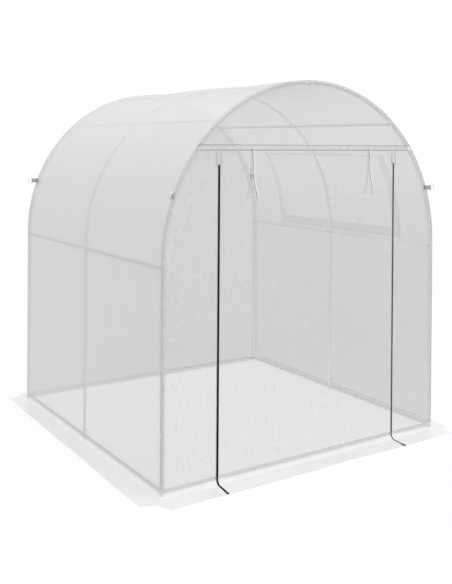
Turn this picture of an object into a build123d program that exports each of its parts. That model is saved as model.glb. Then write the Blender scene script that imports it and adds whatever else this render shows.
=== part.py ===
from build123d import *

import os
from math import cos, degrees, radians, sin

# Walk-in polytunnel greenhouse: three steel hoops under a fitted film cover with a zipped roll-up door.
# Millimetres, +Z up, door towards -Y, origin on the ground at the middle of the plan.

# Hoop frame
hoop_span = 1780.0
hoop_spacing = 890.0
springing_height = 1100.0
tube_diameter = 19.0
tube_wall = 1.2
spigot_length = 60.0
spigot_clearance = 0.5
side_purlin_drop = 24.0
upper_purlin_angle = 50.0
base_rail_height = 25.0
header_rise = 540.0

# Film cover
film_thickness = 1.5
film_gap = 0.3
seam_gap = 0.3
lower_seam_angle = 36.0
upper_seam_angle = 62.0
header_sleeve_height = 28.0
skirt_bend_radius = 35.0
skirt_reach = 135.0

# Door zips
zip_offset = 580.0
zip_slot = 10.0
zip_tape_width = 34.0
zip_tape_thickness = 0.8
zip_teeth_width = 10.0
zip_teeth_height = 2.0
zip_top_drop = 71.0
zip_tail = 98.0
slider_length = 16.0
slider_width = 15.0
slider_plate = 1.2
slider_corner = 2.0
pull_length = 24.0
pull_width = 8.0
pull_thickness = 1.5

# Window in the right haunch, closed by a flap that laps over its edges
window_front = -580.0
window_rear = 520.0
window_low_angle = 4.5
window_high_angle = 30.0
flap_lap = 60.0
flap_low_lap = 55.0

# Door ties
left_tie_offset = -375.0
right_tie_offset = 410.0
tie_width = 16.0
tie_thickness = 1.2
tie_straight = 110.0
tie_bend_radius = 290.0
tie_bend_angle = 28.0
tie_sewn_length = 12.0

# Guy tabs and rings on the end hoops
guy_angle = 20.0
webbing_width = 25.0
webbing_thickness = 1.5
webbing_length = 36.0
webbing_sewn = 14.0
ring_wire = 4.5
ring_radius = 17.5
ring_leg = 14.0
ring_corner = 5.0
ring_play = 0.3

# Places worked out from the sizes above
hoop_radius = hoop_span / 2
tube_radius = tube_diameter / 2
bore_radius = tube_radius - tube_wall
spigot_radius = bore_radius - spigot_clearance
film_inner = hoop_radius + tube_radius + film_gap
film_outer = film_inner + film_thickness
gable_inner = hoop_spacing + tube_radius + film_gap
gable_outer = gable_inner + film_thickness
hoop_places = {"front": -hoop_spacing, "middle": 0, "rear": hoop_spacing}
skirt_top = film_thickness + skirt_bend_radius
side_purlin_height = springing_height - side_purlin_drop
header_height = springing_height + header_rise
header_sleeve_low = header_height - header_sleeve_height / 2
header_sleeve_high = header_height + header_sleeve_height / 2
zip_top_height = header_sleeve_low - zip_top_drop
zip_tape_face = film_gap + zip_tape_thickness
zip_teeth_face = zip_tape_face + zip_teeth_height
zip_reach = skirt_bend_radius + zip_tail
ARCH_AXIS = Axis((0, 0, 0), (0, -1, 0))
QUARTER = 90
HALF = 180


# Shared shapes

def save(name, *solids):
    shape = solids[0] if len(solids) == 1 else Compound(children=list(solids))
    export_step(shape, "parts/" + name + ".step")


def box_between(low, high):
    size = [top - bottom for bottom, top in zip(low, high)]
    middle = [(top + bottom) / 2 for bottom, top in zip(low, high)]
    return Pos(*middle) * Box(*size)


def mirrored_left(shape):
    return mirror(shape, Plane.YZ)


def mirrored_rear(shape):
    return mirror(shape, Plane.XZ)


def tube_section(outer, inner):
    return Circle(outer) - Circle(inner)


def arch_sweep(section, start_angle, end_angle, y=0):
    # Turns a section drawn at hoop radius round the arch centre, angles from the right springing
    turned = revolve(section, ARCH_AXIS, end_angle - start_angle)
    return Pos(0, y, springing_height) * Rot(0, -start_angle, 0) * turned


def arch_point(radius, angle):
    return radius * cos(radians(angle)), springing_height + radius * sin(radians(angle))


def hoop_envelope(y):
    # The solid round one hoop that other tubes are coped to
    radius = tube_radius + seam_gap
    arch = arch_sweep(Pos(hoop_radius, 0) * Circle(radius), 0, HALF, y)
    leg = Pos(hoop_radius, y, springing_height / 2) * Cylinder(radius, springing_height)
    return [arch, leg, mirrored_left(leg)]


def coped_tube(path_length, place, hoops):
    # A straight tube along its own Z whose ends are cut to saddle the hoops
    tube = place * extrude(tube_section(tube_radius, bore_radius), path_length / 2, both=True)
    for y in hoops:
        for envelope in hoop_envelope(y):
            tube -= envelope
    return max(tube.solids(), key=lambda solid: solid.volume)


# Hoops

def make_leg(y):
    ring = extrude(tube_section(tube_radius, bore_radius), springing_height - seam_gap)
    return Pos(hoop_radius, y, 0) * ring


def make_arch_halves(y):
    # Each half has a reduced end that slides into the leg; the right one also enters the left at the crown
    tube = Pos(hoop_radius, 0) * tube_section(tube_radius, bore_radius)
    spigot = Pos(hoop_radius, 0) * tube_section(spigot_radius, spigot_radius - tube_wall)
    plug = Pos(hoop_radius, 0) * tube_section(bore_radius, spigot_radius - tube_wall)
    seam_angle = degrees(seam_gap / hoop_radius)
    spigot_angle = degrees(spigot_length / hoop_radius)
    neck_angle = degrees(tube_diameter / hoop_radius)
    half = arch_sweep(tube, 0, QUARTER - seam_angle, y)
    half += arch_sweep(plug, 0, neck_angle, y)
    down = Pos(0, y, springing_height) * extrude(spigot, -spigot_length)
    half += down
    left = mirrored_left(half)
    right = half + arch_sweep(plug, QUARTER - seam_angle - neck_angle, QUARTER - seam_angle, y)
    right += arch_sweep(spigot, QUARTER - seam_angle - neck_angle, QUARTER + spigot_angle, y)
    return left, right


def make_hoops():
    for name, y in hoop_places.items():
        leg = make_leg(y)
        save(name + "_hoop_legs", mirrored_left(leg), leg)
        save(name + "_hoop_arch", *make_arch_halves(y))


# Straight tubes between the hoops

def bay_tubes(x, z):
    bays = []
    for y in (-hoop_spacing / 2, hoop_spacing / 2):
        place = Pos(x, y, z) * Rot(QUARTER, 0, 0)
        bays.append(coped_tube(hoop_spacing, place, (y - hoop_spacing / 2, y + hoop_spacing / 2)))
    return bays


def clear_of_cross_rails(rail):
    # The side rails' saddles also give way to the front and rear rails that meet the same legs
    for y in (-hoop_spacing, hoop_spacing):
        crossing = Pos(0, y, base_rail_height) * Rot(0, QUARTER, 0)
        rail -= crossing * Cylinder(tube_radius + seam_gap, hoop_span)
    return max(rail.solids(), key=lambda solid: solid.volume)


def make_lengthwise_tubes():
    upper_x, upper_z = arch_point(hoop_radius, upper_purlin_angle)
    lines = {
        "base_rail": (hoop_radius, base_rail_height),
        "side_purlin": (hoop_radius, side_purlin_height),
        "upper_purlin": (upper_x, upper_z),
    }
    for name, (x, z) in lines.items():
        bays = bay_tubes(x, z)
        if name == "base_rail":
            bays = [clear_of_cross_rails(bay) for bay in bays]
        save("right_" + name, *bays)
        save("left_" + name, *[mirrored_left(bay) for bay in bays])


def make_cross_tubes():
    crossing = Pos(0, -hoop_spacing, base_rail_height) * Rot(0, QUARTER, 0)
    front_rail = coped_tube(hoop_span, crossing, (-hoop_spacing,))
    save("front_base_rail", front_rail)
    save("rear_base_rail", mirrored_rear(front_rail))
    header_place = Pos(0, -hoop_spacing, header_height) * Rot(0, QUARTER, 0)
    save("header_tube", coped_tube(hoop_span, header_place, (-hoop_spacing,)))


# Film walls and roof

def make_side_walls():
    half_length = gable_inner - seam_gap
    low = (film_inner, -half_length, skirt_top + seam_gap)
    wall = box_between(low, (film_outer, half_length, springing_height - seam_gap))
    save("right_wall_film", wall)
    save("left_wall_film", mirrored_left(wall))


def film_strip(inner, thickness, front, rear, start_angle, end_angle):
    section = Pos(inner + thickness / 2, (front + rear) / 2) * Rectangle(thickness, rear - front)
    return arch_sweep(section, start_angle, end_angle)


def roof_panel(start_angle, end_angle):
    half_length = gable_inner - seam_gap
    seam_angle = degrees(seam_gap / film_inner)
    return film_strip(film_inner, film_thickness, -half_length, half_length, start_angle, end_angle - seam_angle)


def make_roof():
    haunch = roof_panel(0, lower_seam_angle)
    shoulder = roof_panel(lower_seam_angle, upper_seam_angle)
    crown = roof_panel(upper_seam_angle, QUARTER)
    opening = film_strip(
        film_inner - film_thickness,
        film_thickness * 3,
        window_front,
        window_rear,
        window_low_angle,
        window_high_angle,
    )
    save("left_haunch_film", mirrored_left(haunch))
    save("right_haunch_film", haunch - opening)
    for name, panel in (("shoulder", shoulder), ("crown", crown)):
        save("right_" + name + "_film", panel)
        save("left_" + name + "_film", mirrored_left(panel))


def make_window_flap():
    inner = film_outer + film_gap
    flap = film_strip(
        inner,
        film_thickness,
        window_front - flap_lap,
        window_rear + flap_lap,
        window_low_angle - degrees(flap_low_lap / inner),
        window_high_angle + degrees(flap_lap / inner),
    )
    save("window_flap", flap)


# Film gables and door

def gable_slab(outline):
    # Stands a flat outline up on the front gable line
    return Pos(0, -gable_inner, 0) * extrude(Plane.XZ * outline, film_thickness)


def hoop_outline():
    walls = Pos(0, (springing_height + skirt_top + seam_gap) / 2)
    walls *= Rectangle(film_outer * 2, springing_height - skirt_top - seam_gap)
    return walls + Pos(0, springing_height) * Circle(film_outer)


def outline_window(left, right, low, high):
    return Pos((left + right) / 2, (low + high) / 2) * Rectangle(right - left, high - low)


def make_gables():
    crown_height = springing_height + film_outer
    outline = hoop_outline() & outline_window(-film_outer, film_outer, skirt_top + seam_gap, crown_height)
    under_header = header_sleeve_low - seam_gap
    strip = outline_window(zip_offset + zip_slot / 2, film_outer, 0, under_header)
    over = outline_window(-film_outer, film_outer, header_sleeve_high + seam_gap, crown_height)
    door_edge = zip_offset - zip_slot / 2
    door = outline_window(-door_edge, door_edge, skirt_top + seam_gap, under_header)
    right_strip = gable_slab(outline & strip)
    save("front_gable_right", right_strip)
    save("front_gable_left", mirrored_left(right_strip))
    save("front_gable_top", gable_slab(outline & over))
    save("roll_up_door", gable_slab(door))
    save("rear_gable", mirrored_rear(gable_slab(outline)))


def make_header_sleeve():
    depth = tube_diameter + 2 * (film_gap + film_thickness)
    corner = depth / 2 - film_thickness
    section = RectangleRounded(header_sleeve_height, depth, corner) - Circle(tube_radius + film_gap)
    place = Pos(0, -hoop_spacing, header_height) * Rot(0, QUARTER, 0)
    sleeve = place * extrude(section, hoop_radius, both=True)
    within = Pos(0, -hoop_spacing, springing_height) * Rot(QUARTER, 0, 0) * Cylinder(hoop_radius, 2 * depth)
    sleeve = sleeve & within
    for envelope in hoop_envelope(-hoop_spacing):
        sleeve -= envelope
    sleeve = max(sleeve.solids(), key=lambda solid: solid.volume)
    band = outline_window(-film_outer, film_outer, header_sleeve_low, header_sleeve_high)
    sleeve += gable_slab(hoop_outline() & band)
    save("header_sleeve", sleeve)


# Skirts that turn out from the walls and lie on the ground

def bent_strip(width, near, far, reach):
    # A strip on the wall's outer face at Y 0 that turns out on the skirt's bend and runs on to -reach;
    # near and far are its two faces, measured outwards from the film
    section = Pos(0, skirt_bend_radius - (near + far) / 2) * Rectangle(width, far - near)
    bend = revolve(section, Axis.X, QUARTER)
    bend = Pos(0, -skirt_bend_radius, skirt_top) * Rot(-QUARTER, 0, 0) * bend
    low = (-width / 2, -reach, film_thickness + near)
    return bend + box_between(low, (width / 2, -skirt_bend_radius, film_thickness + far))


def make_skirts():
    front = Pos(0, -gable_outer, 0) * bent_strip(2 * film_inner, -film_thickness, 0, skirt_reach)
    side = bent_strip(2 * gable_inner, -film_thickness, 0, skirt_reach)
    right = Pos(film_outer, 0, 0) * Rot(0, 0, QUARTER) * side
    save("front_skirt", front)
    save("rear_skirt", mirrored_rear(front))
    save("right_skirt", right)
    save("left_skirt", mirrored_left(right))


# Zips down both sides of the door and out along the front skirt

def zip_run(width, near, far, top):
    upright = box_between((-width / 2, -far, skirt_top), (width / 2, -near, top))
    return bent_strip(width, near, far, zip_reach) + upright


def make_zips():
    tape = zip_run(zip_tape_width, film_gap, zip_tape_face, header_sleeve_low - seam_gap)
    teeth = zip_run(zip_teeth_width, zip_tape_face, zip_teeth_face, zip_top_height)
    right_zip = Pos(zip_offset, -gable_outer, 0) * (tape + teeth)
    save("right_zip", right_zip)
    save("left_zip", mirrored_left(right_zip))


def make_sliders():
    # Each slider rides over the teeth at the end of its zip, with a flat pull turned back along the zip
    floor = film_thickness + zip_tape_face + seam_gap
    roof = film_thickness + zip_teeth_face + seam_gap
    half = slider_width / 2
    body = box_between((-half, 0, floor), (half, slider_length, roof + slider_plate))
    body = fillet(body.edges().filter_by(Axis.Z), slider_corner)
    groove_half = zip_teeth_width / 2 + seam_gap
    body -= box_between((-groove_half, -slider_length, floor), (groove_half, 2 * slider_length, roof))
    bridge_half = pull_thickness
    bridge_start = (slider_length - pull_width) / 2
    post_top = roof + slider_plate + pull_thickness
    body += box_between((-bridge_half, bridge_start, roof), (bridge_half, bridge_start + pull_width, post_top))
    pull = Pos(0, pull_length / 2 + bridge_start, post_top)
    body += pull * extrude(RectangleRounded(pull_width, pull_length, slider_corner), pull_thickness)
    right = Pos(zip_offset, -gable_outer - zip_reach, 0) * body
    save("zip_sliders", mirrored_left(right), right)


# Ties that hold the rolled-up door, one of each pair outside and one inside

def make_tie(top):
    # Hangs straight from its top and then swings aside to +X
    straight_end = header_sleeve_low - tie_straight
    half = tie_width / 2
    strap = box_between((-half, 0, straight_end), (half, tie_thickness, top))
    section = Pos(-tie_bend_radius, tie_thickness / 2) * Rectangle(tie_width, tie_thickness)
    return strap + Pos(tie_bend_radius, 0, straight_end) * revolve(section, ARCH_AXIS, tie_bend_angle)


def make_ties():
    outside = Pos(0, -gable_outer - film_gap - tie_thickness, 0) * make_tie(header_sleeve_low + tie_sewn_length)
    inside = Pos(0, film_gap - gable_inner, 0) * mirrored_left(make_tie(header_sleeve_low - seam_gap))
    for name, x in (("left", left_tie_offset), ("right", right_tie_offset)):
        save(name + "_door_ties", Pos(x, 0, 0) * outside, Pos(x, 0, 0) * inside)


# Guy tabs sewn to the end hoops, each holding a wire ring

def make_guy_tab(x, y, z):
    bar = ring_wire / 2 + ring_play
    half = webbing_thickness
    doubled = Pos((webbing_length - webbing_sewn) / 2, 0) * Rectangle(webbing_length + webbing_sewn, 2 * half)
    plan = doubled + Pos(webbing_length, 0) * Circle(bar + webbing_thickness)
    plan -= Pos(webbing_length, 0) * Circle(bar)
    return Pos(x, y, z - webbing_width / 2) * extrude(plan, webbing_width)


def make_guy_ring(x, y, z):
    # A ring with one straight bar for the webbing and a round bow for the rope
    outline = Pos(ring_leg / 2, 0) * Rectangle(ring_leg, 2 * ring_radius)
    bow_side = Pos(ring_leg + ring_radius / 2, 0) * Rectangle(ring_radius, 2 * ring_radius)
    outline += (Pos(ring_leg, 0) * Circle(ring_radius)) & bow_side
    bar_corners = outline.vertices().group_by(Axis.X)[0]
    outline = fillet(bar_corners, ring_corner)
    path = (Plane.XZ * outline).face().outer_wire()
    section = Plane(origin=path @ 0, z_dir=path % 0) * Circle(ring_wire / 2)
    return Pos(x, y, z) * sweep(section, path=path)


def make_guy_points():
    x, z = arch_point(film_outer, guy_angle)
    y = -gable_outer - film_gap - webbing_thickness
    tab = make_guy_tab(x, y, z)
    ring = make_guy_ring(x + webbing_length, y, z)
    for name, right_front in (("guy_tabs", tab), ("guy_rings", ring)):
        left_front = mirrored_left(right_front)
        fronts = [left_front, right_front]
        save(name, *fronts, *[mirrored_rear(piece) for piece in fronts])


os.makedirs("parts", exist_ok=True)
make_hoops()
make_lengthwise_tubes()
make_cross_tubes()
make_side_walls()
make_roof()
make_window_flap()
make_gables()
make_header_sleeve()
make_skirts()
make_zips()
make_sliders()
make_ties()
make_guy_points()
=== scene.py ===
import math

import bmesh
import bpy
from mathutils import Matrix, Vector, noise


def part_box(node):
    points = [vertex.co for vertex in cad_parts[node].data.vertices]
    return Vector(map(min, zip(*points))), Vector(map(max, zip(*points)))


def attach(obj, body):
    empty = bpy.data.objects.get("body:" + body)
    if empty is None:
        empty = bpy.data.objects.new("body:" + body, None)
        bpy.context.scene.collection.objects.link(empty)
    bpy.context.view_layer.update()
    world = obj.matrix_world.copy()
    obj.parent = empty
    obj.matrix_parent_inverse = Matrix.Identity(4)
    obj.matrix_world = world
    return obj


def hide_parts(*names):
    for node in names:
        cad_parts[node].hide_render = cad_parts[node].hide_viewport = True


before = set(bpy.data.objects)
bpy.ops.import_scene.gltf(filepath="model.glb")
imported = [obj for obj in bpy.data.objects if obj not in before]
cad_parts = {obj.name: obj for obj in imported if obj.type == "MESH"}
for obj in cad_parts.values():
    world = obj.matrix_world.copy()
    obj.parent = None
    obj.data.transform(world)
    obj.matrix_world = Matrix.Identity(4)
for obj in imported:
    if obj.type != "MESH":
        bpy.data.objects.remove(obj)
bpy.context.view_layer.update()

X, Y, Z = range(3)
ROOT = "root"
MM = 0.001
ACROSS = Vector((1, 0, 0))
AHEAD = Vector((0, -1, 0))
UP = Vector((0, 0, 1))


# Places read from the frame, in metres

def middle(node, axis):
    low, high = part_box(node)
    return (low[axis] + high[axis]) / 2


def thickness(node, axis):
    low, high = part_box(node)
    return high[axis] - low[axis]


tube_r = thickness("front_base_rail", Z) / 2
hoop_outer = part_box("front_hoop_arch")[1][X]
hoop_r = hoop_outer - tube_r
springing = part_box("front_hoop_arch")[1][Z] - hoop_outer
hoop_ys = [middle(name + "_hoop_legs", Y) for name in ("front", "middle", "rear")]
hoop_spacing = hoop_ys[1] - hoop_ys[0]
end_hoop_y = hoop_ys[2]

base_rail_z = middle("front_base_rail", Z)
side_purlin_z = middle("right_side_purlin", Z)
upper_purlin_rise = middle("right_upper_purlin", Z) - springing
upper_purlin_angle = math.atan2(upper_purlin_rise, middle("right_upper_purlin", X))
header_z = middle("header_tube", Z)
header_low, header_high = (corner[Z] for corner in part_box("header_sleeve"))

film_r = middle("right_wall_film", X)
gable_y = -middle("front_gable_top", Y)
gable_face = -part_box("front_gable_top")[0][Y]
laid_z = thickness("front_gable_top", Y)
crown_z = springing + film_r

bend_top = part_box("front_skirt")[1][Z]
bend_r = bend_top - laid_z
skirt_out = -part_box("front_skirt")[0][Y] - gable_face

LEFT_ZIP_SHIFT = 0.009
ZIP_TOP_DROP = 0.071
zip_x = middle("right_zip", X)
left_zip_x = -zip_x - LEFT_ZIP_SHIFT
zip_tape_half = thickness("right_zip", X) / 2
zip_teeth_half = zip_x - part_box("roll_up_door")[1][X]
zip_end = -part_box("right_zip")[0][Y] - gable_face
zip_top = header_low - ZIP_TOP_DROP

FLAP_DROP = 0.020
FLAP_LAP = 0.060
FLAP_LOW_LAP = 0.055
FLAP_TOP_SEAM = 0.012
flap_low, flap_high = (Vector(corner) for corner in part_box("window_flap"))
flap_r = flap_high[X]
flap_low = flap_low - UP * FLAP_DROP
flap_angles = [math.asin((corner[Z] - springing) / flap_r) for corner in (flap_low, flap_high)]
window_ys = (flap_low[Y] + FLAP_LAP, flap_high[Y] - FLAP_LAP)
window_angles = (flap_angles[0] + FLAP_LOW_LAP / flap_r, flap_angles[1] - FLAP_TOP_SEAM / flap_r)


# Small helpers

def smoothstep(value):
    value = min(max(value, 0.0), 1.0)
    return value * value * (3 - 2 * value)


def ripple(height, *spot):
    """Smooth unevenness, up to about the height each way, read at a spot of the noise."""
    return height * noise.noise(Vector(spot))


def spread(start, end, step):
    """Evenly spaced values from start to end, both included, about step apart."""
    count = max(1, round(abs(end - start) / step))
    return [start + (end - start) * k / count for k in range(count + 1)]


def spread_through(stops, step):
    """Values about step apart that meet each of the stops."""
    values = [stops[0]]
    for start, end in zip(stops, stops[1:]):
        values += spread(start, end, step)[1:]
    return values


def quads(rows, cols):
    """The faces of a grid of corners, each after its row and column."""
    for i in range(rows - 1):
        for j in range(cols - 1):
            a = i * cols + j
            yield i, j, (a, a + 1, a + cols + 1, a + cols)


def add_mesh(name, verts, faces, material, smooth=True):
    mesh = bpy.data.meshes.new(name)
    mesh.from_pydata([tuple(v) for v in verts], [], faces)
    mesh.materials.append(material)
    mesh.polygons.foreach_set("use_smooth", [smooth] * len(mesh.polygons))
    mesh.update()
    piece = bpy.data.objects.new(name, mesh)
    bpy.context.scene.collection.objects.link(piece)
    return piece


def add_grid(name, rows, cols, point, material, keep=None):
    """A sheet of quads over rows by cols, each corner placed by point(row, col)."""
    verts = [point(r, c) for r in rows for c in cols]
    faces = []
    for i, j, quad in quads(len(rows), len(cols)):
        if keep is None or keep((rows[i] + rows[i + 1]) / 2, (cols[j] + cols[j + 1]) / 2):
            faces.append(quad)
    return add_mesh(name, verts, faces, material)


def merge_close(piece, distance=1e-5):
    work = bmesh.new()
    work.from_mesh(piece.data)
    bmesh.ops.remove_doubles(work, verts=work.verts, dist=distance)
    bmesh.ops.dissolve_degenerate(work, edges=work.edges, dist=distance)
    work.to_mesh(piece.data)
    work.free()
    return piece


def surface_area(piece):
    return sum(face.area for face in piece.data.polygons)


def settle(piece, slot, *nodes):
    """The piece rides on the one body and stands for the named nodes, which are hidden. The slot is not
    used.
    """
    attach(piece, ROOT)
    if nodes:
        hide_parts(*nodes)


def box_part(verts, faces, corner, across, along, up):
    """Adds one six-sided block to the lists, from a corner and three edges."""
    base = len(verts)
    for k in range(8):
        verts.append(corner + across * (k & 1) + along * (k >> 1 & 1) + up * (k >> 2 & 1))
    for quad in ((0, 2, 3, 1), (4, 5, 7, 6), (0, 1, 5, 4), (2, 6, 7, 3), (0, 4, 6, 2), (1, 3, 7, 5)):
        faces.append(tuple(base + k for k in quad))


def add_cord(verts, faces, points, radius, sides=8, loop=False):
    """A round cord through points that lie near an upright plane, with closed ends or as a loop."""
    base = len(verts)
    last = len(points) - 1
    for k, place in enumerate(points):
        before = points[k - 1] if k or loop else place
        after = points[(k + 1) % len(points)] if k < last or loop else place
        along = (after - before).normalized()
        first = (AHEAD - along * AHEAD.dot(along)).normalized()
        second = along.cross(first)
        for turn in range(sides):
            angle = 2 * math.pi * turn / sides
            verts.append(place + (first * math.cos(angle) + second * math.sin(angle)) * radius)
    rings = [base + k * sides for k in range(len(points))]
    for here, there in zip(rings, rings[1:] + rings[:1] if loop else rings[1:]):
        for turn in range(sides):
            nxt = (turn + 1) % sides
            faces.append((here + turn, here + nxt, there + nxt, there + turn))
    if not loop:
        faces.append(tuple(reversed(range(base, base + sides))))
        faces.append(tuple(range(rings[-1], rings[-1] + sides)))


# Shader nodes

def feed(tree, node, *values, **named):
    """Sets a node's inputs, by order or by name, to values or to the outputs of other nodes."""
    for key, value in (*enumerate(values), *named.items()):
        socket = node.inputs[key.replace("_", " ") if isinstance(key, str) else key]
        if isinstance(value, bpy.types.NodeSocket):
            tree.links.new(value, socket)
        else:
            socket.default_value = value
    return node


def add_node(tree, kind, *values, **named):
    return feed(tree, tree.nodes.new("ShaderNode" + kind), *values, **named)


def math_node(tree, operation, *values, clamp=False):
    node = add_node(tree, "Math", *values)
    node.operation = operation
    node.use_clamp = clamp
    return node.outputs[0]


def times(tree, first, second):
    return math_node(tree, "MULTIPLY", first, second)


def plus(tree, first, second, clamp=False):
    return math_node(tree, "ADD", first, second, clamp=clamp)


def noise_node(tree, coords, scale, detail, roughness=0.55, distortion=0.0):
    node = add_node(tree, "TexNoise", Vector=coords, Scale=scale, Detail=detail,
                    Roughness=roughness, Distortion=distortion)
    return node.outputs[0]


def map_range(tree, value, low, high, to_low=0.0, to_high=1.0):
    return add_node(tree, "MapRange", value, low, high, to_low, to_high).outputs[0]


def mix_colour(tree, factor, first, second):
    node = add_node(tree, "Mix", factor)
    node.data_type = "RGBA"
    for socket, colour in zip(node.inputs[6:8], (first, second)):
        socket.default_value = (*colour, 1.0)
    return node.outputs[2]


def new_group(name, inputs, outputs):
    """A shader node group with named number sockets, its two ends and the object's coordinates."""
    group = bpy.data.node_groups.new(name, "ShaderNodeTree")
    for label, value in inputs.items():
        socket = group.interface.new_socket(name=label, in_out="INPUT", socket_type="NodeSocketFloat")
        socket.default_value = value
    for label in outputs:
        group.interface.new_socket(name=label, in_out="OUTPUT", socket_type="NodeSocketFloat")
    given = group.nodes.new("NodeGroupInput").outputs
    made = group.nodes.new("NodeGroupOutput")
    return group, given, made, add_node(group, "TexCoord").outputs["Object"]


def place_group(tree, group, **values):
    node = add_node(tree, "Group")
    node.node_tree = group
    return feed(tree, node, **values).outputs


# Effects shared by several finishes

def make_film_crinkle():
    """Creased milky film: how sheer it is, the height of its creases with painted light and shade along
    them, and painted top light that lightens the surfaces facing up.
    """
    group, given, made, coords = new_group(
        "film crinkle",
        {"Crease Scale": 9.0, "Crease Depth": 0.5, "Sheer": 0.3, "Clouding": 0.03, "Top Haze": 0.0},
        ("Alpha", "Height", "Haze"),
    )
    stroke_turn, stroke_stretch = math.radians(35), 0.45
    patch_scale, lean_scale, cloud_scale, grain_scale = 11.0, 60.0, 3.1, 420.0
    grain_share, crease_shading_share, cloud_share = 0.05, 0.12, 0.12
    slanted = add_node(group, "Mapping", Vector=coords, Rotation=(0.0, stroke_turn, 0.0),
                       Scale=(1.0, 1.0, stroke_stretch))
    strokes = slanted.outputs[0]
    folds = noise_node(group, strokes, given["Crease Scale"], detail=2.0, roughness=0.5, distortion=0.3)
    ridge = math_node(group, "ABSOLUTE", math_node(group, "SUBTRACT", folds, 0.5))
    ridge_lines = map_range(group, ridge, 0.0, 0.06, 1.0, 0.0)
    patches = map_range(group, noise_node(group, coords, patch_scale, detail=2.0), 0.46, 0.58)
    deep = times(group, times(group, ridge_lines, patches), given["Crease Depth"])
    # Partly painted light and shade: along the creases the film turns more or less opaque at random, so they
    # read darker or lighter; the thicker film of a fold is real, the light and shade of the crinkles is
    # painted.
    lean = map_range(group, noise_node(group, strokes, lean_scale, detail=1.0), 0.42, 0.58, -1.0, 1.0)
    crease_shading_alpha = times(group, times(group, deep, lean), crease_shading_share)
    clouds = noise_node(group, coords, cloud_scale, detail=3.0)
    milky = times(group, math_node(group, "SUBTRACT", clouds, 0.5), given["Clouding"])
    grain = noise_node(group, coords, grain_scale, detail=2.0)
    # Painted top light: the film is drawn towards its lighter grey where it faces up, as if lit from above.
    normal = add_node(group, "NewGeometry").outputs["Normal"]
    upward = math_node(group, "ABSOLUTE", add_node(group, "SeparateXYZ", normal).outputs["Z"])
    top_light_share = times(group, upward, given["Top Haze"])
    feed(group, made,
         Alpha=plus(group, given["Sheer"], plus(group, milky, crease_shading_alpha), clamp=True),
         Height=plus(group, deep, times(group, grain, grain_share)),
         Haze=plus(group, top_light_share, times(group, clouds, cloud_share), clamp=True))
    return group


def make_woven_tape():
    """Plain weave seen across X and Z, as a mask of the raised threads and its height."""
    group, given, made, coords = new_group("woven tape", {"Threads": 900.0}, ("Mask", "Height"))
    thread_share, fuzz_share, fuzz_scale = 0.7, 0.3, 350.0
    waves = []
    for direction in ("X", "Z"):
        wave = add_node(group, "TexWave", Vector=coords, Scale=given["Threads"], Distortion=0.6)
        wave.wave_type = "BANDS"
        wave.bands_direction = direction
        waves.append(wave.outputs["Fac"])
    over = times(group, *waves)
    fuzz = noise_node(group, coords, fuzz_scale, detail=3.0)
    mask = plus(group, times(group, over, thread_share), times(group, fuzz, fuzz_share))
    feed(group, made, Mask=mask, Height=over)
    return group


def make_zinc_spangle():
    """Galvanised metal: flaky patches of tone, streaks and the change of polish between them."""
    group, given, made, coords = new_group(
        "zinc spangle", {"Flake Scale": 260.0}, ("Tone", "Polish", "Height"))
    flake_share, streak_share, streak_scale = 0.25, 0.75, 38.0
    flakes = add_node(group, "TexVoronoi", Vector=coords, Scale=given["Flake Scale"])
    patchy = add_node(group, "SeparateColor", flakes.outputs["Color"]).outputs[0]
    streaks = noise_node(group, coords, streak_scale, detail=5.0, roughness=0.6, distortion=1.2)
    tone = plus(group, times(group, patchy, flake_share), times(group, streaks, streak_share))
    feed(group, made, Tone=tone, Polish=map_range(group, streaks, 0.3, 0.7, 0.29, 0.36), Height=streaks)
    return group


def make_moulded_grain():
    """Moulded plastic: a faint mottle of its colour and a fine grain on its surface."""
    group, given, made, coords = new_group("moulded grain", {"Grain Scale": 160.0}, ("Mottle", "Height"))
    grain_per_mottle = 6.0
    fine = times(group, given["Grain Scale"], grain_per_mottle)
    feed(group, made, Mottle=noise_node(group, coords, given["Grain Scale"], detail=4.0),
         Height=noise_node(group, coords, fine, detail=2.0))
    return group


film_crinkle = make_film_crinkle()
woven_tape = make_woven_tape()
zinc_spangle = make_zinc_spangle()
moulded_grain = make_moulded_grain()


# Materials

def grey(value):
    return (value, value, value)


def new_material(name, **constants):
    """A material with one Principled shader, and its fixed sockets set."""
    material = bpy.data.materials.new(name)
    material.use_nodes = True
    tree = material.node_tree
    return material, tree, feed(tree, tree.nodes["Principled BSDF"], **constants)


def add_bump(tree, shader, height, strength, distance):
    bump = add_node(tree, "Bump", Strength=strength, Distance=distance, Height=height)
    feed(tree, shader, Normal=bump.outputs["Normal"])


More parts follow.
